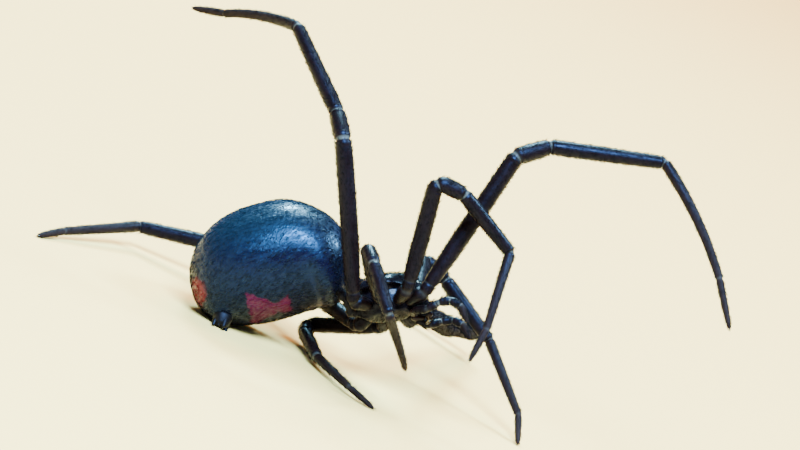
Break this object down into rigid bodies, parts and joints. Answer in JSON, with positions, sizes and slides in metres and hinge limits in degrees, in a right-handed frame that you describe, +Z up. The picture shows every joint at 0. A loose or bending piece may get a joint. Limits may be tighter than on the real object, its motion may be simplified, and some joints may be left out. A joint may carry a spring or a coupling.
{
  "type": "black widow spider model",
  "caption": "Life-size still model of a female black widow spider, front raised and belly turned aside, with its red hourglass mark.",
  "frame": {"origin": "centre of the bounding box on the floor, under the spider", "axes": "+X runs from the abdomen to the head and the raised front leg, +Y points to the spider's left side, +Z up"},
  "size_m": [0.0308, 0.0292, 0.0153],
  "materials": {
    "abdomen_black": "glossy black cuticle with fine hairs, a crimson hourglass below and an orange-red spot behind",
    "carapace_black": "glossy black cuticle",
    "leg_black": "glossy black cuticle with dark red-brown edges",
    "leg_end_brown": "brown-black, covered in fine bristles",
    "mouthpart_brown": "brown-black cuticle"
  },
  "bodies": {
    "root": {"abdomen": "abdomen_black", "cephalothorax": "carapace_black", "chelicerae": "mouthpart_brown", "leg_left_1_coxa": "leg_black", "leg_left_1_femur": "leg_black", "leg_left_1_metatarsus": "leg_end_brown", "leg_left_1_patella": "leg_black", "leg_left_1_tarsus": "leg_end_brown", "leg_left_1_tibia": "leg_black", "leg_left_2_coxa": "leg_black", "leg_left_2_femur": "leg_black", "leg_left_2_metatarsus": "leg_end_brown", "leg_left_2_patella": "leg_black", "leg_left_2_tarsus": "leg_end_brown", "leg_left_2_tibia": "leg_black", "leg_left_3_coxa": "leg_black", "leg_left_3_femur": "leg_black", "leg_left_3_metatarsus": "leg_end_brown", "leg_left_3_patella": "leg_black", "leg_left_3_tarsus": "leg_end_brown", "leg_left_3_tibia": "leg_black", "leg_left_4_coxa": "leg_black", "leg_left_4_femur": "leg_black", "leg_left_4_metatarsus": "leg_end_brown", "leg_left_4_patella": "leg_black", "leg_left_4_tarsus": "leg_end_brown", "leg_left_4_tibia": "leg_black", "leg_right_1_coxa": "leg_black", "leg_right_1_femur": "leg_black", "leg_right_1_metatarsus": "leg_end_brown", "leg_right_1_patella": "leg_black", "leg_right_1_tarsus": "leg_end_brown", "leg_right_1_tibia": "leg_black", "leg_right_2_coxa": "leg_black", "leg_right_2_femur": "leg_black", "leg_right_2_metatarsus": "leg_end_brown", "leg_right_2_patella": "leg_black", "leg_right_2_tarsus": "leg_end_brown", "leg_right_2_tibia": "leg_black", "leg_right_3_coxa": "leg_black", "leg_right_3_femur": "leg_black", "leg_right_3_metatarsus": "leg_end_brown", "leg_right_3_patella": "leg_black", "leg_right_3_tarsus": "leg_end_brown", "leg_right_3_tibia": "leg_black", "leg_right_4_coxa": "leg_black", "leg_right_4_femur": "leg_black", "leg_right_4_metatarsus": "leg_end_brown", "leg_right_4_patella": "leg_black", "leg_right_4_tarsus": "leg_end_brown", "leg_right_4_tibia": "leg_black", "palp_left": "mouthpart_brown", "palp_right": "mouthpart_brown", "pedicel": "mouthpart_brown", "spinnerets": "mouthpart_brown"}
  },
  "joints": []
}
